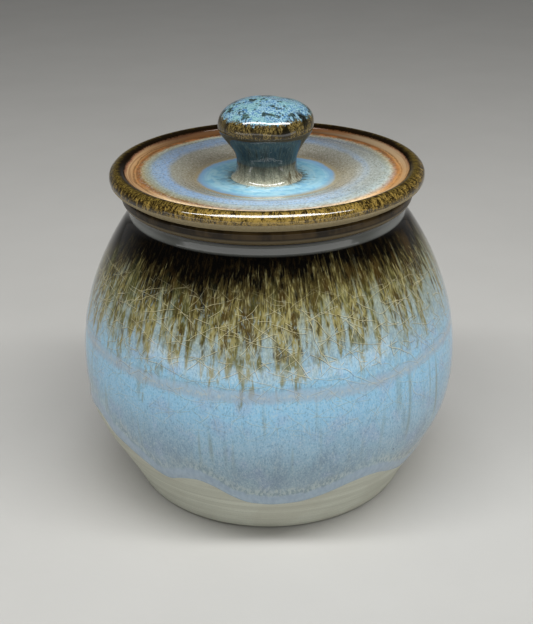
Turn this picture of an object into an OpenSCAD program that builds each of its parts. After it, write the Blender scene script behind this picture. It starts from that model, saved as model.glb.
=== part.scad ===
// Thrown stoneware jar with a globe body and a loose lid with a knob.
// Millimetres, +Z up. The origin is on the shelf, on the jar's axis.

/* [Jar] */
// Diameter of the belly at its widest
belly_d = 120.2; // [108:0.2:132]
// Height of the belly's widest line above the shelf
belly_h = 42; // [34:0.5:50]
// Diameter of the foot, with its round edge
foot_d = 90; // [80:0.5:98]
// Radius of the foot's round edge
foot_round = 2; // [1:0.1:3]
// Width of the ring that the jar stands on
foot_ring_w = 6; // [4:0.5:10]
// Depth of the turned hollow inside the ring
foot_hollow = 1.5; // [0.5:0.1:2.5]
// Diameter of the shoulder's edge, where the neck starts
shoulder_d = 86.4; // [85:0.2:90]
// Height of the shoulder's edge above the shelf
shoulder_h = 89.5; // [80:0.5:98]
// Thickness of the wall at the belly
wall = 4.5; // [3:0.1:6]
// Thickness of the floor, with the hollow under it
floor_t = 6; // [4.5:0.5:9]
// Diameter of the flat part of the floor inside
floor_d = 56; // [44:1:62]

/* [Neck and rim] */
// Narrowest outer diameter of the neck
neck_d = 82.4; // [80.4:0.2:84]
// Height of the neck, from the shoulder's edge to the rim
neck_len = 5; // [4:0.5:8]
// Outer diameter of the rim
rim_d = 89.6; // [87:0.2:92]
// Height of the rim
rim_t = 4; // [3.4:0.1:6]
// Radius of the rim's outer edges
rim_round = 1.6; // [1:0.1:1.7]
// Inner diameter of the mouth
mouth_d = 74.4; // [70:0.2:76]
// Radius of the mouth's inner edge
mouth_round = 1.2; // [0.6:0.1:2]

/* [Lid] */
// Outer diameter of the lid
lid_d = 96.4; // [93:0.2:104]
// Radius of the lid's rolled edge
edge_round = 2.7; // [2:0.1:3]
// Height of the rolled edge's centre above the seat
edge_rise = 3.2; // [2.6:0.1:4.5]
// Outer diameter of the flat seat under the lid
seat_d = 90.8; // [88:0.2:92]
// Diameter of the dish inside the rolled edge
dish_d = 81.2; // [72:0.2:84]
// Thickness of the lid under the dish
dish_t = 3.7; // [3:0.1:4.6]
// Outer diameter of the slope down to the pool
slope_d = 59.2; // [50:0.2:64]
// Diameter of the sunken pool round the knob
pool_d = 42.6; // [34:0.2:48]
// Depth of the pool below the dish
pool_depth = 2.5; // [1:0.1:3]
// Thickness of the lid under the pool
pool_t = 4.2; // [3:0.1:5.5]
// Length of the flange that hangs in the mouth
flange_len = 9.2; // [7.5:0.1:14]
// Thickness of the flange
flange_t = 3.6; // [2.6:0.1:4.6]
// Radius of the fillet between the flange and the underside
flange_fillet = 1.5; // [0.5:0.1:2]
// Gap between the flange and the mouth, on each side
lid_clearance = 0.9; // [0.4:0.1:2]

/* [Knob] */
// Diameter of the knob's head
head_d = 29.7; // [24:0.1:36]
// Height of the head's widest line above the pool
head_h = 15.8; // [12:0.1:22]
// Height of the dome above the head's widest line
dome_h = 8.5; // [4:0.1:13]
// Diameter of the stem at its narrowest
stem_d = 18.4; // [12:0.1:21]
// Height of the stem's narrowest line above the pool
stem_h = 5.2; // [3:0.1:8]
// Diameter of the knob's spread foot
flare_d = 22; // [21.2:0.1:28]

/* [Hidden] */
$fn = 96;
curve_steps = 24;
arc_steps = 8;

belly_r = belly_d / 2;
foot_r = foot_d / 2;
shoulder_r = shoulder_d / 2;
neck_r = neck_d / 2;
rim_r = rim_d / 2;
mouth_r = mouth_d / 2;
rim_base_h = shoulder_h + neck_len;
seat_h = rim_base_h + rim_t;

lid_r = lid_d / 2;
dish_h = seat_h + dish_t;
pool_h = dish_h - pool_depth;
under_h = pool_h - pool_t;
edge_h = seat_h + edge_rise;
edge_r = lid_r - edge_round;
flange_r = mouth_r - lid_clearance;
flange_in_r = flange_r - flange_t;
flange_round = flange_t / 2;
flange_h = seat_h - flange_len;

// Where the rolled edge starts below and ends inside, as angles on its arc
edge_start_angle = -35;
edge_end_angle = 150;

// Handles of the belly's curves, as shares of its rise and of its spread
heel_handle_shares = [0.60, 0.52];
belly_low_share = 0.43;
belly_high_share = 0.30;
shoulder_handle_shares = [0.75, 0.36];
// Handles of the inside, below the belly
floor_handle_share = 0.58;
inner_low_share = 0.55;
// Handles of the neck's hollow, of the stem's foot and of the head's underside
neck_handle_share = 0.15;
flare_handle_shares = [0.75, 0.15];
stem_handle_share = 0.5;
under_head_shares = [0.35, 0.22];

// A point on a cubic curve with two handles
function on_curve(p, t) =
    pow(1 - t, 3) * p[0] + 3 * pow(1 - t, 2) * t * p[1] + 3 * (1 - t) * t * t * p[2] + pow(t, 3) * p[3];

// The points along a cubic curve, without its first one
function curve(p, steps = curve_steps) = [for (i = [1 : steps]) on_curve(p, i / steps)];

// The points along a round edge, from one angle to another
function arc(centre, radius, from, to, steps = arc_steps) =
    [for (i = [0 : steps]) centre + radius * [cos(from + (to - from) * i / steps), sin(from + (to - from) * i / steps)]];

function last(list) = list[len(list) - 1];

// The direction in which the wall leaves the foot
heel_spread = (belly_r - foot_r) * heel_handle_shares[0];
heel_rise = belly_h * heel_handle_shares[1];
heel_angle = -atan2(heel_spread, heel_rise);
shoulder_rise = shoulder_h - belly_h;

function foot_outline() = concat(
    [[0, foot_hollow], [foot_r - foot_round - foot_ring_w - foot_hollow, foot_hollow]],
    [[foot_r - foot_round - foot_ring_w, 0]],
    arc([foot_r - foot_round, foot_round], foot_round, -90, heel_angle));

function heel_curve() = curve([
    last(foot_outline()),
    [foot_r + heel_spread, heel_rise],
    [belly_r, belly_h * (1 - belly_low_share)],
    [belly_r, belly_h]]);

function shoulder_curve(inset, end_r) = curve([
    [belly_r - inset, belly_h],
    [belly_r - inset, belly_h + shoulder_rise * belly_high_share],
    [end_r + (belly_r - shoulder_r) * shoulder_handle_shares[0], shoulder_h - shoulder_rise * shoulder_handle_shares[1]],
    [end_r, shoulder_h]]);

// The neck's hollow: its handles are set so that it is neck_d at its narrowest
function neck_curve() =
    let (end_r = rim_r - rim_round)
    let (handle_r = (8 * neck_r - shoulder_r - end_r) / 6)
    curve([
        [shoulder_r, shoulder_h],
        [handle_r, shoulder_h + neck_len * neck_handle_share],
        [handle_r, rim_base_h - neck_len * neck_handle_share],
        [end_r, rim_base_h]]);

function rim_outline() = concat(
    arc([rim_r - rim_round, rim_base_h + rim_round], rim_round, -90, 0),
    arc([rim_r - rim_round, seat_h - rim_round], rim_round, 0, 90),
    arc([mouth_r + mouth_round, seat_h - mouth_round], mouth_round, 90, 180));

function reversed(list) = [for (i = [1 : len(list)]) list[len(list) - i]];

function inside_outline() = concat(
    reversed(shoulder_curve(wall, mouth_r)),
    reversed(curve([
        [floor_d / 2, floor_t],
        [floor_d / 2 + (belly_r - wall - floor_d / 2) * floor_handle_share, floor_t],
        [belly_r - wall, belly_h - (belly_h - floor_t) * inner_low_share],
        [belly_r - wall, belly_h]])),
    [[floor_d / 2, floor_t], [0, floor_t]]);

module jar() {
    color([0.45, 0.56, 0.68])
        rotate_extrude()
            polygon(concat(foot_outline(), heel_curve(), shoulder_curve(0, shoulder_r), neck_curve(),
                rim_outline(), inside_outline()));
}

// The lid seen from below: underside, flange and seat
function lid_underside() = concat(
    [[0, under_h]],
    arc([flange_in_r - flange_fillet, under_h - flange_fillet], flange_fillet, 90, 0),
    arc([flange_in_r + flange_round, flange_h + flange_round], flange_round, 180, 360),
    [[flange_r, seat_h], [seat_d / 2, seat_h]]);

// The lid seen from above: rolled edge, dish, slope and pool
function lid_top() = concat(
    arc([edge_r, edge_h], edge_round, edge_start_angle, edge_end_angle, 2 * arc_steps),
    [[dish_d / 2, dish_h], [slope_d / 2, dish_h], [pool_d / 2, pool_h], [0, pool_h]]);

module lid() {
    color([0.52, 0.46, 0.24])
        rotate_extrude()
            polygon(concat(lid_underside(), lid_top()));
}

function stem_outline() = concat(
    [[0, 0], [flare_d / 2, 0]],
    curve([
        [flare_d / 2, 0],
        [flare_d / 2 - (flare_d - stem_d) / 2 * flare_handle_shares[0], stem_h * flare_handle_shares[1]],
        [stem_d / 2, stem_h * (1 - stem_handle_share)],
        [stem_d / 2, stem_h]]),
    curve([
        [stem_d / 2, stem_h],
        [stem_d / 2, stem_h + (head_h - stem_h) * under_head_shares[0]],
        [head_d / 2, head_h - (head_h - stem_h) * under_head_shares[1]],
        [head_d / 2, head_h]]));

function dome_outline() =
    [for (i = [1 : curve_steps]) [head_d / 2 * cos(90 * i / curve_steps), head_h + dome_h * sin(90 * i / curve_steps)]];

module knob() {
    color([0.42, 0.53, 0.62])
        translate([0, 0, pool_h])
            rotate_extrude()
                polygon(concat(stem_outline(), dome_outline()));
}

jar();
lid();
knob();
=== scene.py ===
import math
from types import SimpleNamespace

import bpy
import numpy as np
from mathutils import Matrix, Vector


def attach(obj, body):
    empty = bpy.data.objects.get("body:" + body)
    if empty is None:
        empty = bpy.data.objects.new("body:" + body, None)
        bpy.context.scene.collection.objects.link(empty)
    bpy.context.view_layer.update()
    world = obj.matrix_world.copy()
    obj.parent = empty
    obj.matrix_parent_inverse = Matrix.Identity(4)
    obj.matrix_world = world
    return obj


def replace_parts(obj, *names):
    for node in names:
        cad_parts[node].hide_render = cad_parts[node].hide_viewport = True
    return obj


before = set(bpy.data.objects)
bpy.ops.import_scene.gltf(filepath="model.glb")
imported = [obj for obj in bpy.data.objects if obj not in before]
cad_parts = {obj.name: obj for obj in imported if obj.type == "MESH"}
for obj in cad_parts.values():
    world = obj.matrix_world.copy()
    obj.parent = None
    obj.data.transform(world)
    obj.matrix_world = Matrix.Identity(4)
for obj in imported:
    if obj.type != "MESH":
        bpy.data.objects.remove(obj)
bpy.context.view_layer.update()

MM = 0.001
SEGMENTS = 400
TURN = np.arange(SEGMENTS) * 2 * math.pi / SEGMENTS
# Degrees round the jar from the side that faces the camera, positive to its right
AZIMUTH = (np.degrees(TURN) + 270) % 360 - 180
# How far the clay and the back of a glaze shell lie below the glazed surface
CLAY_INSET = 0.5
SHELL_BACK = 0.9
# Edges that bend by more degrees than this stay sharp
SHARP_ANGLE = 50
# The glaze's gloss, and the faint shine of bare clay
COAT_ROUGHNESS, COAT_IOR = 0.04, 1.6
CLAY_SPECULAR = 0.3


def smooth(value, low, high):
    """0 below low, 1 above high and a soft step between them."""
    t = np.clip((value - low) / (high - low), 0, 1)
    return t * t * (3 - 2 * t)


def waves(lengths, *terms):
    """A sum of sines at these lengths along a profile and all round it. Each term is a height, turns round the jar,
    waves per mm of length and a phase."""
    return sum(h * np.sin(turns * TURN + 2 * math.pi * rate * lengths + phase) for h, turns, rate, phase in terms)


# Profiles, after part.scad, with the neck and the rim's underside 0.6 mm lower, the dome fuller, and the lid's fine
# forms added


def bezier(*handles, steps=60):
    t = np.linspace(0, 1, steps + 1)[:, None]
    a, b, c, d = (np.array(p, float) for p in handles)
    return (1 - t) ** 3 * a + 3 * (1 - t) ** 2 * t * b + 3 * (1 - t) * t ** 2 * c + t ** 3 * d


def arc(centre, radius, start, end, steps=24):
    angles = np.radians(np.linspace(start, end, steps + 1))
    return np.array(centre) + radius * np.column_stack([np.cos(angles), np.sin(angles)])


def line(*points):
    return np.array(points, float)


class Profile:
    """A line of (radius, height) points, read by its length. The solid lies on its left."""

    def __init__(self, *runs):
        points = np.vstack(runs)
        apart = np.linalg.norm(np.diff(points, axis=0), axis=1) > 1e-6
        self.points = points[np.concatenate([[True], apart])]
        steps = np.linalg.norm(np.diff(self.points, axis=0), axis=1)
        self.lengths = np.concatenate([[0], np.cumsum(steps)])
        self.end = self.lengths[-1]
        along = np.gradient(self.points, self.lengths, axis=0)
        along /= np.linalg.norm(along, axis=1)[:, None]
        self.normals = np.column_stack([along[:, 1], -along[:, 0]])

    def read(self, table, lengths):
        return np.stack([np.interp(lengths, self.lengths, table[:, i]) for i in range(2)])

    def surface(self, lengths, out=0.0):
        """Radii and heights at these lengths, moved out from the solid."""
        radius, height = self.read(self.points, lengths) + out * self.read(self.normals, lengths)
        return np.maximum(radius, 0), height

    def at_height(self, height):
        return np.interp(height, self.points[:, 1], self.lengths)


def graded(start, *parts):
    """Lengths from start on. Each part is the length where it ends and how far apart its rows are."""
    rows = []
    for end, spacing in parts:
        rows.append(np.linspace(start, end, max(2, round((end - start) / spacing) + 1)))
        start = end
    return np.concatenate([row[:-1] for row in rows[:-1]] + rows[-1:])


def all_round(lengths):
    """The same lengths along the profile at every angle."""
    return np.repeat(np.asarray(lengths, float)[:, None], SEGMENTS, axis=1)


# Points as radius and height
FOOT_CENTRE, FOOT_ROUND = (43, 2), 2
HEEL_ANGLE = -22.5
BELLY = (60.1, 42)
BELLY_INSIDE = (55.6, 42)
SHOULDER = (43.2, 89.5)
NECK_FOOT = (42.75, 90.5)
NECK_TOP = (42.38, 92.5)
RIM_CENTRE_R, RIM_ROUND = 43.2, 1.6
FLOOR_EDGE = (28, 6)
FOOT = [line((0, 1.5), (35.5, 1.5), (37, 0)), arc(FOOT_CENTRE, FOOT_ROUND, -90, HEEL_ANGLE)]
BODY = [
    bezier((44.85, 1.2), (54.06, 21.84), (60.1, 23.94), BELLY),
    bezier(BELLY, (60.1, 56.25), (55.875, 72.4), SHOULDER)[:-1],
    bezier((43.827, 88.646), (43.36, 89.29), (42.796, 90.254), NECK_FOOT, steps=16),
    line(NECK_FOOT, NECK_TOP),
    bezier(NECK_TOP, (42.29, 93.0), (42.5, 93.9), (RIM_CENTRE_R, 93.9), steps=16),
    arc((RIM_CENTRE_R, 95.5), RIM_ROUND, -90, 0),
    arc((RIM_CENTRE_R, 96.9), RIM_ROUND, 0, 90),
]
MOUTH = [arc((38.4, 97.3), 1.2, 90, 180)]
INSIDE = [
    bezier((37.2, 89.5), (49.875, 72.4), (55.6, 56.25), BELLY_INSIDE),
    bezier(BELLY_INSIDE, (55.6, 22.2), (44.0, 6), FLOOR_EDGE),
    line(FLOOR_EDGE, (0, 6)),
]
jar_outside = Profile(arc(FOOT_CENTRE, FOOT_ROUND, -60, HEEL_ANGLE), *BODY)
jar_inside = Profile(*MOUTH, *INSIDE)
jar_section = Profile(*FOOT, *BODY, *MOUTH, *INSIDE)

SEAT_H = 98.5
DISH_H = 102.2
POOL_H = 99.7
UNDER_H = 95.5
FLANGE_R = 36.3
SEAT_R = 45.4
EDGE_CENTRE, EDGE_ROUND = (45.5, 101.7), 2.7
# The rolled edge's glaze starts and ends at these angles on its arc
EDGE_START, EDGE_END = -10, 150
DISH_RIM = (40.75, DISH_H)
SLOPE_TOP = (27.2, 101.48)
SLOPE_FOOT = (23.4, 100.33)
FLANGE_FILLET = [line((0, UNDER_H), (31.2, UNDER_H)), arc((31.2, 94.0), 1.5, 90, 0)]
LID_UNDER = [*FLANGE_FILLET, arc((34.5, 91.1), 1.8, 180, 360), line((FLANGE_R, 91.1), (FLANGE_R, SEAT_H))]
BEVEL = [line((SEAT_R, SEAT_H), (47.3, 99.86)), arc(EDGE_CENTRE, EDGE_ROUND, -35, EDGE_START)]
LID_TOP = [
    arc(EDGE_CENTRE, EDGE_ROUND, EDGE_START, 34),
    # A small facet, which carries the edge's highlight
    bezier((47.738, 103.21), (47.67, 103.31), (46.954, 103.978), (46.85, 104.038), steps=16),
    arc(EDGE_CENTRE, EDGE_ROUND, 60, EDGE_END),
    bezier((43.16, 103.05), (42.3, 102.55), (41.6, 102.3), DISH_RIM),
    # A fine groove round the dish
    bezier(DISH_RIM, (40.4, 101.98), (40.1, 101.98), (39.75, DISH_H)),
    line((39.75, DISH_H), (32.2, DISH_H)),
    bezier((32.2, DISH_H), (29.6, DISH_H), (29.0, 102.02), SLOPE_TOP),
    line(SLOPE_TOP, SLOPE_FOOT),
    bezier(SLOPE_FOOT, (21.8, 99.85), (20.6, POOL_H), (18.0, POOL_H)),
    line((18.0, POOL_H), (0, POOL_H)),
]
lid_under = Profile(*FLANGE_FILLET, line((32.7, 94.0), (32.7, 91.6)))
lid_top = Profile(*LID_TOP)
lid_section = Profile(*LID_UNDER, line((FLANGE_R, SEAT_H), (SEAT_R, SEAT_H)), *BEVEL, *LID_TOP)

FLARE_R, STEM_R, HEAD_R = 11, 9.2, 14.85
STEM_H, HEAD_H = POOL_H + 5.2, POOL_H + 15.8
DOME_H, DOME_FULLNESS = 8.5, 2.35
# How far the knob's foot reaches into the lid
KNOB_SUNK = 0.3
dome = np.radians(np.linspace(0, 90, 91))
knob_profile = Profile(
    line((0, POOL_H - KNOB_SUNK), (FLARE_R, POOL_H - KNOB_SUNK)),
    bezier((FLARE_R, POOL_H), (9.65, POOL_H + 0.78), (STEM_R, POOL_H + 2.6), (STEM_R, STEM_H)),
    bezier((STEM_R, STEM_H), (STEM_R, POOL_H + 8.91), (HEAD_R, POOL_H + 13.47), (HEAD_R, HEAD_H)),
    np.column_stack([HEAD_R * np.cos(dome) ** (2 / DOME_FULLNESS),
                     HEAD_H + DOME_H * np.sin(dome) ** (2 / DOME_FULLNESS)]),
)

# Heights of the outside glaze's lower edge at angles round the jar. The front is measured and the back is made up.
EDGE_HEIGHTS = [
    (-180, 22.5), (-165, 25.0), (-150, 22.0), (-136, 17.0), (-124, 15.2), (-110, 17.5), (-98, 20.5), (-88, 24.0),
    (-76, 29.0), (-66, 32.6), (-61, 32.8), (-57.5, 31.6), (-53.6, 28.4), (-48.5, 27.3), (-45.5, 25.9), (-41.5, 24.0),
    (-37, 20.6), (-33, 19.5), (-29, 22.0), (-22, 23.8), (-17, 21.6), (-13, 17.8), (-8, 14.6), (0, 13.6),
    (10, 14.4), (18, 17.0), (25, 20.0), (31, 20.9), (36, 20.2), (42, 17.4), (50, 14.2), (60, 13.2),
    (72, 16.0), (84, 20.5), (97, 23.5), (110, 21.5), (122, 17.5), (134, 15.0), (148, 17.0), (162, 21.0),
]
EDGE_SOFTNESS = 2.2
# The ring where the two dips of glaze overlap. It climbs to the sides, as the jar was dipped askew.
RING_H = 54.8
RING_RISE = 1.4
RING_WAVE = 0.25


def glaze_edge():
    """The lower edge's height at each angle, rounded over a few degrees."""
    at, height = np.array(EDGE_HEIGHTS, float).T
    raw = np.interp(AZIMUTH, at, height, period=360)
    reach = np.arange(-6, 7)
    kernel = np.exp(-(reach / EDGE_SOFTNESS) ** 2)
    return sum(k * np.roll(raw, s) for k, s in zip(kernel / kernel.sum(), reach))


def ring_height():
    return RING_H + RING_RISE * np.sin(np.radians(AZIMUTH)) ** 2 + RING_WAVE * np.sin(5 * TURN + 0.8)


edge_length = jar_outside.at_height(glaze_edge())


# Meshes


def lathe(name, rows, material, body, attributes=(), ring=False):
    """A mesh from rows of radii and heights, one column for each angle. A row on the axis becomes one point, and
    ring joins the last row to the first."""
    radii, heights = rows
    on_axis = radii.max(axis=1) < 1e-6
    first = np.concatenate([[0], np.cumsum(np.where(on_axis, 1, SEGMENTS))])
    used = np.concatenate([np.arange(1 if pole else SEGMENTS) + i * SEGMENTS for i, pole in enumerate(on_axis)])
    points = np.stack([radii * np.cos(TURN), radii * np.sin(TURN), heights], axis=-1).reshape(-1, 3)[used]
    here = np.arange(SEGMENTS)
    after = (here + 1) % SEGMENTS
    count = len(radii)
    faces = []
    for low in range(count if ring else count - 1):
        high = (low + 1) % count
        if on_axis[low]:
            corners = [np.full(SEGMENTS, first[low]), first[high] + after, first[high] + here]
        elif on_axis[high]:
            corners = [first[low] + here, first[low] + after, np.full(SEGMENTS, first[high])]
        else:
            corners = [first[low] + here, first[low] + after, first[high] + after, first[high] + here]
        faces.extend(np.column_stack(corners).tolist())
    mesh = bpy.data.meshes.new(name)
    mesh.from_pydata((points * MM).tolist(), [], faces)
    mesh.polygons.foreach_set("use_smooth", np.ones(len(faces), bool))
    mesh.set_sharp_from_angle(angle=math.radians(SHARP_ANGLE))
    for label, values in dict(attributes).items():
        layer = mesh.attributes.new(label, "FLOAT", "POINT")
        layer.data.foreach_set("value", values.reshape(-1)[used].astype(np.float32))
    mesh.materials.append(material)
    piece = bpy.data.objects.new(name, mesh)
    bpy.context.scene.collection.objects.link(piece)
    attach(piece, body)
    return piece


def shell(profile, lengths, out, back):
    """Rows along a glazed surface, moved out by so much, and then along its back."""
    front, behind = profile.surface(lengths, out), profile.surface(back, -SHELL_BACK)
    return tuple(np.vstack(pair) for pair in zip(front, behind))


# Lengths above the jar glaze's lower edge, closer together where the glaze rolls over
NEAR_EDGE = np.array([0, .12, .3, .55, .85, 1.2, 1.6, 2.05, 2.55, 3.1, 3.8, 4.6, 5.5, 6.5, 7.7, 9.0])
# From this height up the rows of the jar's glaze are level, and from the next one they are closer together
LEVEL_H, NECK_H = 47, 88.0
# The jar's glaze stops this far from the rim's top edge
RIM_GAP = 0.55
ROLL_THICK, EDGE_TUCK, RING_THICK = 0.48, 0.12, 0.06


def make_jar_glaze(material):
    level, neck = jar_outside.at_height(LEVEL_H), jar_outside.at_height(NECK_H)
    share = np.linspace(0, 1, 31)[1:, None]
    lengths = np.vstack([
        edge_length + NEAR_EDGE[:, None],
        (edge_length + NEAR_EDGE[-1]) * (1 - share) + level * share,
        all_round(graded(level, (neck, 0.62), (jar_outside.end - RIM_GAP, 0.28))[1:]),
    ])
    away = lengths - edge_length
    height = jar_outside.surface(lengths)[1]
    roll = np.sin(np.pi / 2 * np.clip(away / 0.9, 0, 1)) * (1 - smooth(away, 2.0, 7.5))
    ring = np.exp(-((height - ring_height()) / 0.9) ** 2)
    uneven = waves(lengths, (0.05, 3, 0.011, 0.3), (0.04, 7, 0.02, 1.9), (0.02, 13, 0.045, 4.1)) - 0.11
    uneven = uneven * smooth(away, 0, 12) * (1 - smooth(height, 70, 88))
    out = ROLL_THICK * roll - EDGE_TUCK * (away < 0.05) + RING_THICK * ring + uneven
    back = np.vstack([lengths[i] for i in np.linspace(len(lengths) - 1, 0, 26).astype(int)])
    marks = {"edge_mm": np.vstack([away, back - edge_length])}
    rows = shell(jar_outside, lengths, out, back)
    return lathe("jar_glaze", rows, material, "jar", marks, ring=True)


def make_jar_clay(material):
    """The fired clay of the whole jar. It shows below the glaze, under the foot and on the ring that the lid sits on.
    Elsewhere it lies below the glaze, with rows further apart."""
    rim_top = jar_section.lengths[np.argmin(np.hypot(*(jar_section.points - jar_outside.points[-1]).T))]
    shift = rim_top - jar_outside.end
    ring_in, ring_out = 35.5, 44
    bare_top = jar_outside.at_height(36) + shift
    lengths = all_round(graded(0, (ring_in, 4), (ring_out, 0.5), (bare_top, 0.36), (rim_top - 14, 2.0),
                               (rim_top - 3, 0.8), (rim_top + 8, 0.4), (jar_section.end, 3.5)))
    glazed = smooth(lengths - shift - edge_length, 0.8, 3.0) * (lengths < rim_top - 0.2)
    glazed = np.maximum(glazed, smooth(lengths, rim_top + 5.4, rim_top + 6.4))
    turning = waves(lengths, (0.018, 1, 0.62, 0.4), (0.012, 2, 1.13, 2.0), (0.03, 0, 0.17, 1.1))
    turned = (lengths > ring_out + 2) & (lengths < rim_top - 14)
    rows = jar_section.surface(lengths, turning * turned - CLAY_INSET * glazed)
    return lathe("jar_clay", rows, material, "jar")


def make_jar_lining(material):
    lengths = all_round(graded(0.7, (16, 0.4), (jar_inside.end, 1.1)))
    out = waves(lengths, (0.12, 1, 0.105, 0.0), (0.05, 0, 0.23, 1.0)) * smooth(lengths, 14, 40)
    out = out * (lengths < jar_inside.end - 1)
    rows = shell(jar_inside, lengths, out, lengths[::-3])
    return lathe("jar_lining", rows, material, "jar")


def make_lid_glaze(material):
    lengths = all_round(graded(0, (13, 0.22), (lid_top.end, 0.42)))
    turning = waves(lengths, (0.025, 0, 0.27, 0.0), (0.02, 1, 0.52, 1.0), (0.05, 2, 0.02, 0.5))
    out = turning * smooth(lengths, 12, 15) * (lengths < lid_top.end - 1)
    back = lengths[::-4]
    inward = np.vstack([lengths, back]) - EDGE_ROUND * math.radians(EDGE_END - EDGE_START)
    rows = shell(lid_top, lengths, out, back)
    return lathe("lid_glaze", rows, material, "lid", {"inward_mm": inward})


def make_lid_clay(material):
    under = lid_section.end - lid_top.end
    lengths = all_round(graded(0, (30, 3), (under, 0.3), (under + 12, 0.4), (lid_section.end, 1.2)))
    glazed = np.maximum(1 - smooth(lengths, 34.0, 35.0), smooth(lengths, under - 0.05, under + 0.25))
    return lathe("lid_clay", lid_section.surface(lengths, -CLAY_INSET * glazed), material, "lid")


def make_lid_lining(material):
    lengths = all_round(graded(0, (lid_under.end, 0.45)))
    rows = shell(lid_under, lengths, 0.0, lengths[::-4])
    return lathe("lid_lining", rows, material, "lid")


def make_knob(material):
    lengths = all_round(graded(0, (FLARE_R, 1.5), (knob_profile.end, 0.26)))
    height = knob_profile.surface(lengths)[1]
    uneven = waves(lengths, (0.16, 2, 0.03, 0.7), (0.10, 3, 0.05, 2.4), (0.05, 7, 0.09, 0.9)) - 0.28
    out = uneven * smooth(height, 104, 112) * smooth(knob_profile.end - lengths, 0, 4)
    return lathe("knob_glaze", knob_profile.surface(lengths, out), material, "lid")


# Materials. A colour of three numbers is written as it shows on a screen, 0 to 255.


def linear(colour):
    """The four numbers that a socket takes for a colour, or for a bare level."""
    if not isinstance(colour, tuple):
        return (colour, colour, colour, 1)
    return tuple(v / 255 / 12.92 if v <= 10 else ((v / 255 + 0.055) / 1.055) ** 2.4 for v in colour) + (1,)


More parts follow.
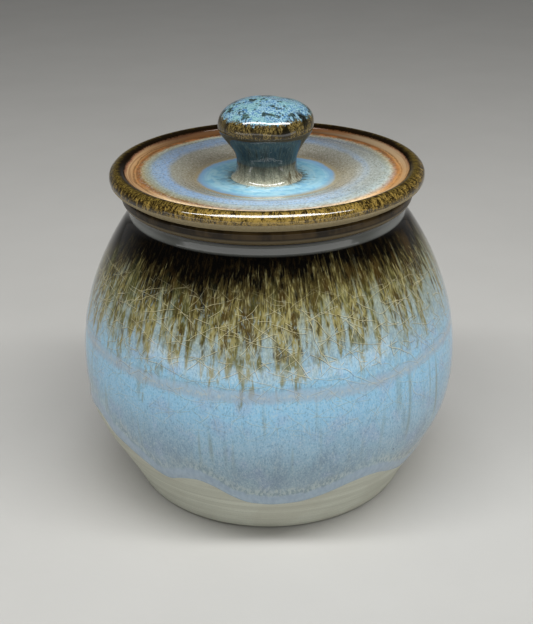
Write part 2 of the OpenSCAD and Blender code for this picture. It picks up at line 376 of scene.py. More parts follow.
class Shader:
    """A material whose nodes are made by calls that return their output sockets. Lengths in it are in millimetres,
    and girth is the radius at which marks that run down the piece are laid out."""

    def __init__(self, name, girth=0.0):
        self.material = bpy.data.materials.new(name)
        self.material.use_nodes = True
        self.nodes = self.material.node_tree.nodes
        self.links = self.material.node_tree.links
        self.nodes.clear()
        self.girth = girth
        place = self.node("ShaderNodeTexCoord").outputs["Object"]
        self.place = self.vector("SCALE", place, scale=1 / MM)
        self.x, self.y, self.z = self.split(self.place)
        self.radius = self.math("SQRT", self.math("ADD", self.math("MULTIPLY", self.x, self.x),
                                                  self.math("MULTIPLY", self.y, self.y)))

    def node(self, kind, values=(), **settings):
        made = self.nodes.new(kind)
        for key, value in settings.items():
            setattr(made, key, value)
        for key, value in dict(values).items():
            self.put(made.inputs[key], value)
        return made

    def put(self, socket, value):
        if isinstance(value, bpy.types.NodeSocket):
            self.links.new(value, socket)
        else:
            socket.default_value = value

    def math(self, operation, first, second=0.0):
        return self.node("ShaderNodeMath", {0: first, 1: second}, operation=operation).outputs[0]

    def vector(self, operation, first, second=None, scale=None):
        values = {0: first}
        if second is not None:
            values[1] = second
        if scale is not None:
            values["Scale"] = scale
        return self.node("ShaderNodeVectorMath", values, operation=operation).outputs[0]

    def dot(self, first, second):
        return self.node("ShaderNodeVectorMath", {0: first, 1: second}, operation="DOT_PRODUCT").outputs["Value"]

    def split(self, vector):
        return self.node("ShaderNodeSeparateXYZ", {0: vector}).outputs

    def join(self, x, y, z):
        return self.node("ShaderNodeCombineXYZ", {0: x, 1: y, 2: z}).outputs[0]

    def add(self, *terms):
        total = terms[0]
        for term in terms[1:]:
            total = self.math("ADD", total, term)
        return total

    def times(self, *factors):
        total = factors[0]
        for factor in factors[1:]:
            total = self.math("MULTIPLY", total, factor)
        return total

    def swing(self, noise, amount):
        """Noise turned into a push to both sides, to make a border uneven."""
        return self.times(self.math("SUBTRACT", noise, 0.5), amount)

    def step(self, value, low, high, start=0.0, end=1.0):
        """start below low, end above high and a soft step between them."""
        return self.node("ShaderNodeMapRange", {0: value, 1: low, 2: high, 3: start, 4: end},
                         interpolation_type="SMOOTHSTEP").outputs[0]

    def band(self, value, low, high, soft):
        """1 from low to high and 0 outside, with soft ends."""
        above = self.step(value, low - soft, low + soft)
        return self.times(above, self.step(value, high - soft, high + soft, 1.0, 0.0))

    def noise(self, vector, size, detail=2.0, roughness=0.5, warp=0.0):
        """Soft noise about 0.5, with features of this size in the vector's units."""
        values = {"Vector": vector, "Scale": 1 / size, "Detail": detail, "Roughness": roughness, "Distortion": warp}
        return self.node("ShaderNodeTexNoise", values).outputs[0]

    def spots(self, vector, size, share, radius):
        """1 in round spots, one in this share of the cells of this size."""
        cells = self.node("ShaderNodeTexVoronoi", {"Vector": vector, "Scale": 1 / size})
        chance = self.split(cells.outputs["Color"])[0]
        near = self.step(cells.outputs["Distance"], 0.5 * radius / size, radius / size, 1.0, 0.0)
        return self.times(near, self.math("LESS_THAN", chance, share))

    def shifted(self, vector, size, amount):
        """The vector, pushed about by noise so that straight things come out uneven."""
        push = self.node("ShaderNodeTexNoise", {"Vector": vector, "Scale": 1 / size, "Detail": 1.0}).outputs["Color"]
        push = self.vector("SUBTRACT", push, (0.5, 0.5, 0.5))
        return self.vector("ADD", vector, self.vector("SCALE", push, scale=amount))

    def mix(self, factor, first, second):
        made = self.node("ShaderNodeMix", data_type="RGBA")
        for i, value in ((0, factor), (6, first), (7, second)):
            self.put(made.inputs[i], linear(value) if isinstance(value, tuple) else value)
        return made.outputs[2]

    def layers(self, colour, *marks):
        """Marks laid over a colour one after another. Each is where it shows, 0 to 1, and its colour."""
        for where, paint in marks:
            colour = self.mix(where, colour, paint)
        return colour

    def ramp(self, value, low, high, *stops):
        """A colour for a value from low to high. Each stop is the value it stands at and a colour or a bare level."""
        share = self.node("ShaderNodeMapRange", {0: value, 1: low, 2: high}).outputs[0]
        made = self.node("ShaderNodeValToRGB", {0: share})
        made.color_ramp.interpolation = "LINEAR"
        elements = made.color_ramp.elements
        for i, (at, colour) in enumerate(stops):
            position = (at - low) / (high - low)
            element = elements[i] if i < 2 else elements.new(position)
            element.position = position
            element.color = linear(colour)
        return made.outputs[0]

    def around(self, stretch):
        """Places on a cylinder as wide as the girth, with heights shortened by stretch, for marks that run down."""
        turn = self.math("DIVIDE", self.girth, self.math("MAXIMUM", self.radius, 0.5))
        return self.join(self.times(self.x, turn), self.times(self.y, turn), self.times(self.z, stretch))

    def facing(self, axis):
        """1 on the side of the axis that s.x or s.y points to, and -1 on the other side."""
        return self.math("DIVIDE", axis, self.math("MAXIMUM", self.radius, 1))

    def attribute(self, name):
        return self.node("ShaderNodeAttribute", attribute_name=name).outputs["Fac"]

    def finish(self, colour, roughness, bump, bump_mm, coat=1.0):
        """A surface whose gloss is the coat's. Without a coat it is bare clay or paper."""
        height = self.node("ShaderNodeBump", {"Height": bump, "Strength": 1.0, "Distance": bump_mm * MM})
        values = {"Base Color": colour, "Roughness": roughness, "Normal": height.outputs[0], "Coat Weight": coat,
                  "Specular IOR Level": CLAY_SPECULAR if coat == 0.0 else 0.0, "Coat Roughness": COAT_ROUGHNESS,
                  "Coat IOR": COAT_IOR}
        shader = self.node("ShaderNodeBsdfPrincipled", values)
        out = self.node("ShaderNodeOutputMaterial", {"Surface": shader.outputs[0]})
        out.is_active_output = True
        return self.material


JAR_GIRTH, LID_GIRTH, KNOB_GIRTH = 55, 47, 14

# The sheets that cut the glaze into its crackle: the direction across each and how far apart they are
CRACK_SHEETS = [
    ((0.27, 0.10, 0.957), 5.5), ((-0.33, 0.18, 0.927), 6.5), ((0.70, 0.28, 0.657), 6), ((-0.66, 0.33, 0.675), 6.5),
    ((0.22, 0.74, 0.636), 6), ((-0.27, -0.79, 0.551), 7), ((0.92, -0.25, 0.302), 8),
]
CRACK_WIDTH = 0.10

# The jar's glaze: the heights that its ramps span, and its colours by height
GLAZE_LOW, GLAZE_HIGH = 50, 94
DARK_STOPS = [
    (56, (128, 136, 114)), (62, (132, 133, 100)), (69, (140, 133, 88)), (74, (138, 130, 82)), (78, (126, 118, 70)),
    (82, (76, 68, 37)), (88, (4, 3, 2)),
]
LIGHT_LOW = 10
LIGHT_STOPS = [
    (14, (132, 156, 168)), (24, (141, 167, 181)), (32, (146, 177, 195)), (40, (144, 184, 208)), (48, (140, 191, 221)),
    (54, (142, 192, 220)), (58, (137, 186, 214)), (62, (140, 176, 196)), (66, (144, 168, 176)), (71, (144, 158, 152)),
    (77, (136, 142, 120)), (83, (120, 116, 82)), (88, (60, 54, 32)), (92, (20, 16, 9)),
]
# How strong the texture has to be, by height, for the dark glaze to break to the light one in streaks
STREAK_LEVELS = [(58, 0.46), (68, 0.49), (78, 0.53), (88, 0.58)]
# Heights on the neck and the rim: where each colour shows, and over which the rim's stain and duller gloss set in
NECK_WALL = (90.2, 92.9)
UNDER_RIM = (93.9, 95.5)
RIM_STAIN = (95.4, 96.2)
RIM_DULL = (93.4, 94.0)


def crackle(s, width):
    """Long fine cracks: sheets that cut the glaze in several directions, bent and broken up by noise. Returns the
    cracks and their shaded lower lips."""
    bent = s.shifted(s.place, 9, 4)
    normal = s.node("ShaderNodeNewGeometry").outputs["Normal"]
    cracks = lips = 0.0
    for i, (direction, spacing) in enumerate(CRACK_SHEETS):
        across = s.dot(bent, direction)
        turns = s.math("FRACT", s.add(s.times(across, 1 / spacing), 0.5 + 0.37 * i))
        off = s.swing(turns, spacing)
        slant = s.dot(normal, direction)
        slant = s.math("SQRT", s.math("MAXIMUM", s.math("SUBTRACT", 1.0, s.times(slant, slant)), 0.04))
        off = s.math("DIVIDE", off, slant)
        broken = s.noise(s.vector("ADD", s.place, (17.0 * i, -9.0 * i, 5.0 * i)), 4.2, 1.0)
        seen = s.step(broken, 0.45, 0.53)
        crack, lip = (s.step(s.math("ABSOLUTE", at), 0.35 * width, width, 1.0, 0.0)
                      for at in (off, s.add(off, 1.6 * width)))
        cracks = s.math("MAXIMUM", cracks, s.times(crack, seen))
        lips = s.math("MAXIMUM", lips, s.times(lip, seen))
    return cracks, lips


def glaze_marks(s):
    """The noises that the jar's glaze is made of, and how far a place is to the right or to either side."""
    run = s.shifted(s.around(0.28), 4, 2.6)
    marks = SimpleNamespace(
        # Marks that run down, from broad streaks to threads
        streak=s.noise(run, 1.5, 3.0, 0.6),
        fibre=s.noise(run, 0.55, 2.0, 0.6),
        drip=s.noise(s.around(0.06), 3.0, 1.0, 0.5),
        tips=s.noise(s.shifted(s.around(0.2), 3, 1.5), 1.9, 1.0),
        thread=s.noise(s.around(0.12), 0.6, 2.0, 0.6),
        # Clouds, from broad to fine
        broad=s.noise(s.around(0.5), 17, 1.0, 0.5),
        patch=s.noise(s.around(0.6), 9, 3.0, 0.6),
        mottle=s.noise(s.around(0.5), 1.2, 2.0, 0.6),
        grain=s.noise(s.around(0.6), 0.38, 2.0, 0.65),
        right=s.facing(s.x),
    )
    marks.sides = s.times(marks.right, marks.right)
    marks.weave = s.add(s.times(marks.fibre, 0.5), s.times(marks.mottle, 0.5))
    return marks


def dark_glaze(s, m, z, lifted, dark_z):
    """Near-black that thins downwards to olive, with brown and green clouds and pale streaks."""
    colour = s.ramp(dark_z, GLAZE_LOW, GLAZE_HIGH, *DARK_STOPS)
    deep = s.times(s.step(m.weave, 0.505, 0.425), s.step(z, 58, 72), 0.7)
    brown = s.times(s.step(s.noise(s.around(0.55), 4.5, 3.0, 0.65), 0.50, 0.60), s.band(lifted, 65, 82, 3), 0.75)
    bright = s.times(s.step(m.weave, 0.52, 0.62), s.band(dark_z, 60, 84, 5), 0.7)
    sparks = s.times(s.step(s.noise(s.around(0.42), 0.8, 3.0, 0.65), 0.56, 0.66), s.band(z, 61, 78, 4), 0.5)
    green = s.times(s.step(s.noise(s.around(0.3), 5, 1.0), 0.5, 0.66), s.step(z, 86, 76), 0.4)
    return s.layers(colour, (deep, (28, 20, 7)), (brown, (62, 46, 18)), (bright, (166, 160, 116)),
                    (sparks, (140, 162, 166)), (green, (78, 86, 46)))


def light_glaze(s, m, z):
    """Sky blue that turns slate towards the foot and dull towards the shoulder, full of fine flecks."""
    colour = s.ramp(s.add(z, s.swing(m.patch, 10)), LIGHT_LOW, GLAZE_HIGH, *LIGHT_STOPS)
    slate = s.times(s.step(m.patch, 0.38, 0.68), s.step(z, 54, 26), 0.8)
    lilac = s.times(s.step(s.noise(s.place, 7, 2.0), 0.5, 0.7), s.step(z, 70, 60), 0.42)
    haze = s.times(s.step(s.noise(s.around(0.5), 1.8, 4.0, 0.65), 0.45, 0.62), s.band(z, 59, 71, 5), 0.5)
    fleck = s.add(s.times(m.fibre, 0.35), s.times(m.grain, 0.65))
    pale = s.times(s.step(fleck, 0.50, 0.62), s.step(z, 86, 70), 0.4)
    deep = s.times(s.step(fleck, 0.48, 0.38), 0.42)
    return s.layers(colour, (slate, (124, 146, 164)), (lilac, (148, 166, 196)), (haze, (146, 150, 122)),
                    (pale, (188, 206, 210)), (deep, (86, 118, 144)))


def overlap_ring(s, m, z, colour):
    """The dull ring where the two dips overlap, with a darker line above it and a torn pale one in it."""
    ring_z = s.add(RING_H, s.times(m.sides, RING_RISE), s.swing(m.broad, 1.6))
    off = s.add(s.math("SUBTRACT", z, ring_z), s.swing(m.streak, 2.4), s.swing(m.grain, 1.6))
    dull = s.times(s.band(off, -2.0, 1.4, 0.9), 0.6)
    dark_line = s.times(s.band(off, 1.5, 2.0, 0.5), 0.3)
    torn_line = s.times(s.band(off, -0.7, 0.0, 0.3), s.step(m.mottle, 0.42, 0.58), 0.4)
    return s.layers(colour, (dull, (152, 165, 178)), (dark_line, (104, 122, 130)), (torn_line, (190, 192, 176)))


def lower_edge(s, m, colour):
    """A torn and speckled line, the smooth pale roll below it and a paler lip."""
    edge = s.attribute("edge_mm")
    torn = s.noise(s.around(0.45), 0.9, 3.0, 0.65)
    speckled = s.mix(s.step(torn, 0.42, 0.58), (122, 142, 148), (180, 194, 192))
    in_speckles = s.times(s.step(s.add(edge, s.swing(m.fibre, 4.0), s.swing(m.streak, 8.0)), 11.5, 6.0),
                          s.step(m.broad, 0.3, 0.55, 0.35, 0.75))
    roll = s.mix(s.step(m.mottle, 0.3, 0.7), (144, 164, 182), (158, 178, 194))
    in_roll = s.step(s.add(edge, s.swing(m.streak, 3.5)), 6.2, 4.6)
    lip = s.step(edge, 0.8, 0.3)
    return s.layers(colour, (in_speckles, speckled), (in_roll, roll), (lip, (170, 182, 186)))


def neck_and_rim(s, m, colour):
    """The neck's grey band, painted reflection on black glaze, paler towards the sides; a tan line under the rim,
    painted reflection on a face turned down; and the rim's stained side.
    """
    # The grey on the neck and the tan line under the rim are painted reflection: the glaze there is near-black.
    wall_reflection = s.mix(s.step(m.sides, 0.4, 0.7), (92, 94, 90), (122, 125, 122))
    stained = s.mix(s.step(m.patch, 0.38, 0.62), (38, 29, 14), (76, 60, 34))
    wall_reflection_mask, under_rim_reflection = (s.times(s.band(s.z, *heights, 0.3), 0.9) for heights in (NECK_WALL, UNDER_RIM))
    return s.layers(colour, (wall_reflection_mask, wall_reflection), (under_rim_reflection, (98, 85, 60)), (s.step(s.z, *RIM_STAIN), stained))


def runny_glaze(name, break_h=0.0, outside=True):
    """Near-black at the shoulder, breaking through olive streaks and drips to sky blue and slate. break_h lifts the
    whole pattern, and outside adds what only the jar's outside shows."""
    s = Shader(name, JAR_GIRTH)
    z = s.math("SUBTRACT", s.z, break_h) if break_h else s.z
    m = glaze_marks(s)
    # The m.right and m.sides terms, here and in dark_z, darken the glaze on the left and towards the silhouettes and
    # lighten it on the right: partly its own uneven run, partly painted shade and painted light.
    lifted = s.add(z, s.swing(m.broad, 9), s.times(m.sides, -2.5), s.times(m.right, -4))
    texture = s.add(s.times(m.streak, 0.5), s.times(m.fibre, 0.2), s.times(m.mottle, 0.3))
    level = s.add(lifted, s.swing(m.drip, 36), s.swing(m.tips, 44), s.swing(texture, -36))
    dark_z = s.add(z, s.swing(m.broad, 8), s.swing(m.streak, 20), s.swing(m.thread, 14), s.swing(m.mottle, 14),
                   s.times(m.right, -1.5), s.times(m.sides, 4), s.times(s.band(m.right, -0.75, -0.15, 0.2), 3.5))
    threshold = s.ramp(lifted, GLAZE_LOW, GLAZE_HIGH, *STREAK_LEVELS)
    streaks = s.step(s.math("SUBTRACT", texture, threshold), 0.0, 0.09)
    light = s.math("MAXIMUM", s.step(level, 73, 61), s.times(streaks, s.step(dark_z, 86, 66, 0.05, 0.8)))
    colour = s.mix(light, dark_glaze(s, m, z, lifted, dark_z), light_glaze(s, m, z))
    stain = s.times(s.step(s.noise(s.around(0.1), 2.6, 1.0), 0.56, 0.80), s.band(z, 32, 56, 8), 0.6)
    dots = s.times(s.spots(s.place, 9, 0.3, 0.45), 0.8)
    colour = s.layers(colour, (stain, (120, 130, 110)), (dots, (20, 24, 34)))
    if outside:
        colour = overlap_ring(s, m, z, colour)
    cracks, lips = crackle(s, CRACK_WIDTH)
    crazed = s.add(s.times(s.band(z, 58, 79, 5), 0.65), s.times(s.band(z, 42, 58, 5), 0.25))
    colour = s.layers(colour, (s.times(lips, crazed), (22, 17, 8)), (s.times(cracks, crazed), (208, 200, 160)))
    if outside:
        colour = neck_and_rim(s, m, lower_edge(s, m, colour))
    bump = s.add(s.times(m.streak, 0.6), s.times(m.fibre, 0.25), s.times(m.grain, 0.12), s.times(cracks, -0.1))
    bump = s.times(bump, s.step(z, 86, 76, 0.4, 1.0))
    return s.finish(colour, 0.5, bump, 0.13, coat=s.step(s.z, *RIM_DULL, 1.0, 0.45))


# The lid's top: colours by the distance in from the end of its rolled edge, in the shade and towards the light
LID_LOW, LID_HIGH = -2, 44
RING_STOPS = [
    (-0.9, (36, 23, 10)), (-0.3, (140, 96, 72)), (0.4, (186, 152, 112)), (1.9, (178, 138, 94)), (2.3, (104, 72, 42)),
    (2.7, (182, 140, 92)), (3.2, (142, 98, 56)), (3.9, (116, 76, 42)), (4.5, (142, 112, 72)), (5.2, (158, 148, 114)),
    (7.2, (160, 172, 162)), (8.6, (146, 176, 204)), (12.4, (144, 178, 216)), (14.4, (156, 158, 146)),
    (21.0, (154, 146, 122)), (22.4, (162, 150, 118)), (23.2, (128, 168, 204)), (26, (142, 200, 222)),
    (31, (154, 210, 232)), (34.5, (136, 176, 182)),
]
FAIR_STOPS = [
    (0.5, (196, 150, 96)), (3.5, (190, 138, 80)), (6, (200, 224, 232)), (9, (184, 214, 240)), (14, (200, 214, 222)),
    (17, (200, 194, 172)), (22, (196, 190, 162)), (25, (166, 214, 232)),
]
# Distances in between which the glaze turns from sand to the pool's turquoise
POOL_EDGE = (23.2, 26)


def lid_marks(s):
    """The noises that the lid's glaze is made of, the distance in, and how far a place is to the right or back."""
    return SimpleNamespace(
        inward=s.attribute("inward_mm"),
        right=s.facing(s.x),
        back=s.facing(s.y),
        broad=s.noise(s.place, 16, 2.0),
        cloud=s.noise(s.place, 3.0, 2.0, 0.6),
        grain=s.noise(s.place, 0.5, 2.0, 0.65),
        rings=s.noise(s.join(s.radius, s.times(s.x, 0.02), s.times(s.y, 0.02)), 0.8, 2.0, 0.6),
        wisps=s.noise(s.place, 1.3, 3.0, 0.65, 0.6),
        rim=s.noise(s.around(0.8), 0.30, 4.0, 0.75),
        runs=s.noise(s.around(0.5), 1.1, 3.0, 0.65),
    )


def lid_rings(s, m):
    """Rust, blue and sand rings, with painted shade that darkens them at the back and the back right, and painted
    light that makes them fairer where the light comes from, towards the right and the front.
    """
    uneven = s.add(m.inward, s.swing(m.broad, 3.0), s.swing(m.grain, 1.4),
                   s.times(m.back, s.band(m.inward, 2.5, 12, 2.0), 1.4))
    colour = s.ramp(uneven, LID_LOW, LID_HIGH, *RING_STOPS)
    # The next two marks darken the rings at the back and the back right: painted shade.
    back = s.times(s.step(m.back, 0.1, 0.8), s.step(m.inward, 5.5, 3.0))
    back_right_shade = s.times(s.step(m.back, 0.0, 0.7), s.step(m.right, 0.0, 0.5), s.band(m.inward, 2.5, 10, 2), 0.5)
    # This mark greys the inner side of the rolled edge on the right: painted sheen.
    right = s.times(s.step(m.right, 0.3, 0.9), s.band(m.inward, -0.2, 1.9, 0.4), 0.6)
    threads = s.times(s.step(m.rings, 0.52, 0.62), s.step(m.inward, 5.2, 4.0), 0.5)
    rusty = s.times(s.step(m.cloud, 0.42, 0.62), s.band(m.inward, 2.6, 4.8, 0.4), 0.4)
    fair = s.ramp(m.inward, 0, LID_HIGH, *FAIR_STOPS)
    # The lit and front marks make the rings fairer to the right and at the front: painted light.
    lit = s.step(s.add(s.times(m.back, -0.8), s.times(m.right, 0.55)), 0.3, 0.95)
    lit = s.times(lit, s.step(m.cloud, 0.3, 0.6, 0.5, 1.0), 0.7)
    front = s.times(s.step(m.back, -0.4, -0.95), s.step(m.inward, 5.5, 3.5), s.step(threads, 0.3, 0.0, 0.5, 0.95))
    beige = s.times(s.step(m.right, 0.35, 0.95), s.band(m.inward, 7, 13, 2), 0.75)
    specks = s.times(s.step(s.noise(s.place, 0.6, 2.0, 0.65), 0.50, 0.60), s.band(m.inward, 3, 22, 1.5), 0.42)
    elsewhere = s.vector("ADD", s.place, (31.0, 7.0, 5.0))
    pale = s.times(s.step(s.noise(elsewhere, 0.6, 2.0, 0.65), 0.52, 0.64), s.band(m.inward, 4, 22, 1.5), 0.36)
    return s.layers(colour, (s.times(back, 0.9), (60, 36, 22)), (back_right_shade, (104, 84, 62)), (right, (142, 128, 104)),
                    (threads, (104, 66, 34)), (rusty, (176, 108, 54)), (lit, fair), (front, (255, 230, 186)),
                    (beige, (166, 166, 144)), (specks, (92, 84, 62)), (pale, (214, 216, 206)))


def lid_pool(s, m, colour):
    """Swirls in the turquoise pool, and the olive smear and spokes that the knob's glaze has left round its foot."""
    in_pool = s.step(m.inward, *POOL_EDGE)
    swirl = s.times(s.step(s.add(s.times(m.rings, 0.5), s.times(m.cloud, 0.5)), 0.46, 0.62), in_pool, 0.3)
    bluer = s.times(s.step(m.cloud, 0.5, 0.38), in_pool, 0.35)
    smear = s.times(s.step(s.add(m.inward, s.swing(m.cloud, 9)), 30.5, 33.5), s.step(m.wisps, 0.42, 0.60), 0.75)
    dots = s.times(s.spots(s.place, 8, 0.25, 0.5), s.band(m.inward, 5, 30, 1), 0.8)
    spokes = s.noise(s.join(s.times(m.right, 12), s.times(m.back, 12), s.times(s.radius, 0.16)), 0.9, 3.0, 0.65)
    near_foot = s.times(s.math("SUBTRACT", 13.5, s.radius), 0.05)
    fringe = s.step(s.add(spokes, s.times(m.wisps, 0.3), near_foot), 0.66, 0.84)
    beside = s.add(s.step(m.right, 0.3, 0.8, 0.0, 0.75), s.step(m.right, -0.3, -0.8, 0.0, 0.45))
    return s.layers(colour, (swirl, (206, 234, 238)), (bluer, (96, 160, 206)), (smear, (98, 92, 56)),
                    (dots, (92, 64, 34)), (s.times(fringe, beside), (80, 76, 50)))


def lid_edge(s, m):
    """The rolled edge: gold over dark brown below, olive above and nearly black on the crest."""
    golden = s.add(s.times(m.rim, 0.6), s.times(m.runs, 0.4), s.times(s.step(m.back, -0.6, -1.0), 0.035))
    gold = s.mix(s.step(golden, 0.46, 0.59), (34, 25, 7), (152, 127, 64))
    # The gold is darkened on the left: painted shade.
    left = s.step(s.add(s.times(m.right, -1.0), s.times(m.back, 0.2)), 0.1, 0.7)
    gold = s.mix(s.times(left, s.step(m.runs, 0.64, 0.46), 0.75), gold, (34, 26, 8))
    olive = s.mix(s.step(m.rim, 0.46, 0.60), (46, 35, 12), (120, 102, 46))
    height = s.add(m.inward, s.swing(m.runs, 3.0), s.swing(m.rim, 1.5),
                   s.step(s.add(s.times(m.back, -1.0), s.times(m.right, 0.6)), 0.0, 1.0, 0.0, -1.5))
    return s.layers(gold, (s.step(height, -5.4, -4.4), olive), (s.step(height, -3.6, -1.8), (18, 11, 4)))


def lid_surface(name):
    """Rings of colour from the dark rolled edge, over rust and blue, to a turquoise pool round the knob."""
    s = Shader(name, LID_GIRTH)
    m = lid_marks(s)
    colour = lid_pool(s, m, lid_rings(s, m))
    # The far and left marks darken the rings at the back and on the left: painted shade.
    far = s.times(s.step(m.back, -0.1, 0.7), s.band(m.inward, 5, 22, 1.5), 0.5)
    left = s.times(s.step(m.right, -0.2, -0.9), 0.24)
    colour = s.layers(colour, (far, (66, 64, 66)), (left, (70, 60, 44)))
    colour = s.mix(s.step(s.add(m.inward, s.swing(m.grain, 1.2)), -0.8, -0.2), lid_edge(s, m), colour)
    bump = s.add(s.times(m.grain, 0.2), s.times(m.cloud, 0.3))
    bump = s.times(bump, s.step(m.inward, -1.5, 0.5, 0.05, 1.0))
    dry = s.times(s.band(m.inward, -1.3, 6.0, 0.7), 0.8)
    return s.finish(colour, 0.5, bump, 0.07, coat=s.math("SUBTRACT", 1.0, dry))


# The stem's colours by height
STEM_LOW, STEM_HIGH = 98, 116
STEM_STOPS = [
    (99.6, (198, 200, 180)), (101.0, (184, 181, 158)), (102.8, (132, 132, 116)), (105.0, (66, 71, 64)),
    (107.4, (24, 28, 25)), (109.5, (11, 15, 13)), (112.2, (28, 33, 30)), (114, (46, 53, 50)),
]


def knob_dome(s, grain):
    """Blue of two shades with dark spots."""
    cloud = s.noise(s.place, 3.2, 2.0, 0.6)
    colour = s.mix(s.step(grain, 0.38, 0.62), (60, 105, 148), (152, 188, 198))
    green = s.times(s.step(cloud, 0.48, 0.62), 0.5)
    blots = s.noise(s.shifted(s.place, 1.5, 1.5), 2.8, 3.0, 0.6)
    blots = s.step(s.add(blots, s.times(s.step(s.z, 122.6, 119), 0.045)), 0.545, 0.62)
    small = s.spots(s.shifted(s.place, 0.8, 0.6), 1.6, 0.35, 0.55)
    dark = s.times(s.math("MAXIMUM", blots, small), 0.85)
    return s.layers(colour, (green, (120, 164, 156)), (dark, (34, 44, 22)))


def knob_stem(s, grain, runs, fine_runs, flecks, right):
    """Slate, nearly black under the head and pale at the foot, with rust on the right."""
    height = s.add(s.z, s.swing(runs, 5), s.swing(grain, 3))
    colour = s.ramp(height, STEM_LOW, STEM_HIGH, *STEM_STOPS)
    pale = s.times(s.step(fine_runs, 0.5, 0.62), 0.3)
    dark = s.times(s.step(fine_runs, 0.46, 0.36), 0.35)
    freckles = s.times(s.step(flecks, 0.5, 0.6), s.step(s.z, 107, 101, 0.1, 0.6))
    rust = s.times(s.step(s.noise(s.around(0.6), 2.5, 3.0, 0.65), 0.48, 0.58), s.step(right, 0.35, 0.8),
                   s.step(s.z, 104.5, 102))
    return s.layers(colour, (pale, (92, 102, 92)), (dark, (26, 32, 30)), (freckles, (66, 58, 36)),
                    (s.times(rust, 0.75), (78, 62, 26)))


def knob_surface(name):
    """A blue dome with dark spots over a speckled olive band and a slate stem."""
    s = Shader(name, KNOB_GIRTH)
    grain = s.noise(s.place, 0.5, 2.0, 0.65)
    runs = s.noise(s.around(0.3), 1.5, 2.0, 0.55)
    fine_runs = s.noise(s.around(0.3), 0.5, 2.0, 0.6)
    flecks = s.noise(s.around(0.75), 0.32, 3.0, 0.75)
    right = s.facing(s.x)
    olive = s.mix(s.step(flecks, 0.43, 0.59), (28, 21, 7), (136, 118, 68))
    dark_runs = s.step(s.add(s.times(runs, 0.4), s.times(fine_runs, 0.3), s.times(flecks, 0.3)), 0.48, 0.58)
    olive = s.mix(s.times(dark_runs, 0.85), olive, (20, 16, 6))
    border = s.add(s.z, s.swing(runs, 3.0), s.swing(fine_runs, 2.0), s.swing(grain, 2.4))
    blotch = s.add(s.noise(s.around(0.45), 4.5, 3.0, 0.65), s.times(s.math("ABSOLUTE", right), 0.05))
    blotch = s.times(s.step(blotch, 0.575, 0.64), s.band(s.z, 115.6, 121.2, 0.8), 0.9)
    low = s.add(s.z, s.swing(grain, 0.7), s.swing(runs, 1.0))
    colour = s.layers(olive, (s.step(border, 118.9, 119.9), knob_dome(s, grain)), (blotch, (18, 16, 6)),
                      (s.step(low, 115.4, 114.7), (40, 34, 18)),
                      (s.step(low, 114.2, 113.7), knob_stem(s, grain, runs, fine_runs, flecks, right)))
    dull = s.times(s.band(s.z, 105, 114, 1.0), 0.35)
    return s.finish(colour, 0.5, grain, 0.01, coat=s.math("SUBTRACT", 1.0, dull))


def bare_clay(name):
    """Fired stoneware, matt and grey-beige, with fine turning lines. It is toasted where the lid meets the rim."""
    s = Shader(name)
    lines = s.noise(s.join(s.times(s.x, 0.02), s.times(s.y, 0.02), s.z), 0.7, 3.0, 0.7)
    bands = s.noise(s.join(s.times(s.x, 0.03), s.times(s.y, 0.03), s.z), 3.2, 1.0, 0.5)
    grain = s.noise(s.place, 0.4, 3.0, 0.7)
    broad = s.noise(s.place, 14, 2.0)
    colour = s.ramp(s.add(s.times(lines, 0.55), s.times(grain, 0.45)), 0.3, 0.7,
                    (0.34, (182, 184, 171)), (0.66, (208, 210, 196)))
    toasted = s.mix(s.step(grain, 0.4, 0.6), (142, 128, 96), (162, 148, 116))
    colour = s.layers(colour, (s.times(s.step(bands, 0.42, 0.62), 0.27), (150, 151, 134)),
                      (s.times(s.step(broad, 0.45, 0.65), 0.2), (162, 156, 138)), (s.step(s.z, 96, 98), toasted))
    bump = s.add(s.times(lines, 0.7), s.times(grain, 0.4))
    return s.finish(colour, s.add(0.55, s.times(grain, 0.2)), bump, 0.08, coat=0.0)


def plain_floor(name):
    s = Shader(name)
    colour = s.mix(s.noise(s.place, 60, 3.0, 0.6), (186, 185, 181), (194, 193, 189))
    return s.finish(colour, 0.8, s.noise(s.place, 3, 2.0), 0.05, coat=0.0)


# Camera, lamps, floor

CAMERA_PLACE = (0, -0.320, 0.20372)
CAMERA_LENS = 62.46
# Degrees by which the camera looks to the left, down and is rolled
CAMERA_PAN, CAMERA_TILT, CAMERA_ROLL = 0.119, 25.184, -0.767
# The soft panels: name, width, height, radiance, place and the point that each faces
PANELS = [
    ("overhead", 1.22, 0.1, 17.2, (0.0, -0.205, 0.664), (0, 0, 0.1)),
    ("front", 1.073, 0.14, 1.35, (0.0, -1.1, 0.07), (0, 0, 0.07)),
    ("left", 1.0, 0.14, 1.35, (-0.849, -0.700, 0.07), (0, 0, 0.07)),
    ("right", 1.0, 0.14, 1.35, (0.849, -0.700, 0.07), (0, 0, 0.07)),
]
FILL_STRENGTH, FILL_ELEVATION, FILL_AZIMUTH, FILL_SPREAD = 0.85, 45, 38, 70
HORIZON_STRENGTH, SKY_STRENGTH, HORIZON_TOP = 0.16, 0.02, 0.35
HORIZON_COLOUR = (1.0, 0.985, 0.96, 1)
FLOOR_HALF = 6.0
FLOOR_DROP = 0.05


def turned(angle, axis):
    return Matrix.Rotation(math.radians(angle), 4, axis)


def place_new(name, data, matrix):
    made = bpy.data.objects.new(name, data)
    bpy.context.scene.collection.objects.link(made)
    made.matrix_world = matrix
    return made


def make_camera():
    data = bpy.data.cameras.new("camera")
    data.sensor_width = 36
    data.lens = CAMERA_LENS
    turn = turned(CAMERA_PAN, "Z") @ turned(90 - CAMERA_TILT, "X") @ turned(CAMERA_ROLL, "Z")
    bpy.context.scene.camera = place_new("camera", data, Matrix.Translation(CAMERA_PLACE) @ turn)


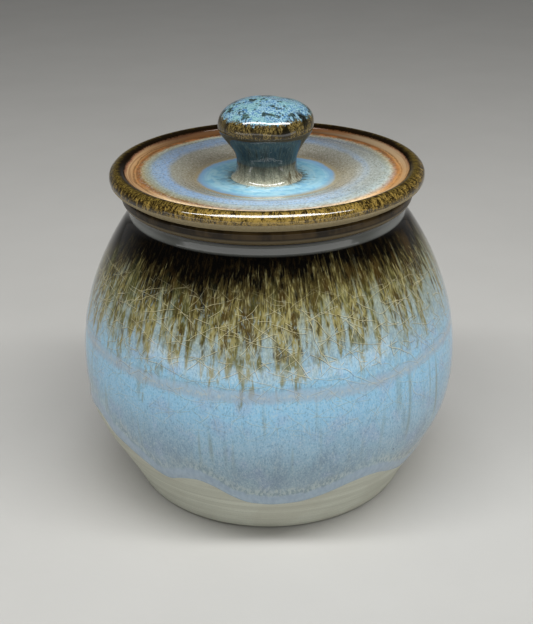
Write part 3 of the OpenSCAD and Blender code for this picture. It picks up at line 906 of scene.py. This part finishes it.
def make_panel(name, width, height, radiance, place, aim):
    """A soft panel that faces the point aim. Its power gives it this radiance, whatever its size."""
    data = bpy.data.lights.new(name, "AREA")
    data.shape = "RECTANGLE"
    data.size, data.size_y = width, height
    data.energy = radiance * math.pi * width * height
    away = (Vector(place) - Vector(aim)).normalized()
    matrix = Matrix.Translation(place) @ away.to_track_quat("Z", "Y").to_matrix().to_4x4()
    place_new(name, data, matrix).visible_camera = False


def make_fill():
    """An even light from far away, for colour alone: gloss doesn't show it."""
    data = bpy.data.lights.new("fill", "SUN")
    data.energy = FILL_STRENGTH
    data.angle = math.radians(FILL_SPREAD)
    place_new("fill", data, turned(FILL_AZIMUTH, "Z") @ turned(90 - FILL_ELEVATION, "X")).visible_glossy = False


def make_world():
    """A plain pale horizon that dims overhead."""
    world = bpy.data.worlds.new("studio")
    world.use_nodes = True
    nodes, links = world.node_tree.nodes, world.node_tree.links
    nodes.clear()
    place = nodes.new("ShaderNodeTexCoord")
    parts = nodes.new("ShaderNodeSeparateXYZ")
    fade = nodes.new("ShaderNodeMapRange")
    fade.interpolation_type = "SMOOTHSTEP"
    for i, value in enumerate((0.0, HORIZON_TOP, HORIZON_STRENGTH, SKY_STRENGTH), start=1):
        fade.inputs[i].default_value = value
    shade = nodes.new("ShaderNodeBackground")
    shade.inputs["Color"].default_value = HORIZON_COLOUR
    out = nodes.new("ShaderNodeOutputWorld")
    links.new(place.outputs["Generated"], parts.inputs[0])
    links.new(parts.outputs[2], fade.inputs[0])
    links.new(fade.outputs[0], shade.inputs["Strength"])
    links.new(shade.outputs[0], out.inputs["Surface"])
    bpy.context.scene.world = world


def make_floor():
    mesh = bpy.data.meshes.new("floor")
    corners = [(-FLOOR_HALF, -FLOOR_HALF, 0), (FLOOR_HALF, -FLOOR_HALF, 0), (FLOOR_HALF, FLOOR_HALF, 0),
               (-FLOOR_HALF, FLOOR_HALF, 0)]
    mesh.from_pydata(corners, [], [(0, 1, 2, 3)])
    mesh.materials.append(plain_floor("floor_paper"))
    floor = place_new("floor", mesh, Matrix.Translation((0, 0, -FLOOR_DROP * MM)))


clay = bare_clay("bare_stoneware")
outer_glaze = make_jar_glaze(runny_glaze("jar_runny_glaze"))
make_jar_clay(clay)
make_jar_lining(runny_glaze("inside_runny_glaze", outside=False))
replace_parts(outer_glaze, "jar")
top_glaze = make_lid_glaze(lid_surface("lid_ringed_glaze"))
make_lid_clay(clay)
make_lid_lining(runny_glaze("lid_under_glaze", break_h=36.0, outside=False))
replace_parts(top_glaze, "lid")
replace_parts(make_knob(knob_surface("knob_spotted_glaze")), "knob")

make_camera()
make_world()
make_floor()
for panel in PANELS:
    make_panel(*panel)
make_fill()

bpy.context.scene.view_settings.view_transform = "Standard"
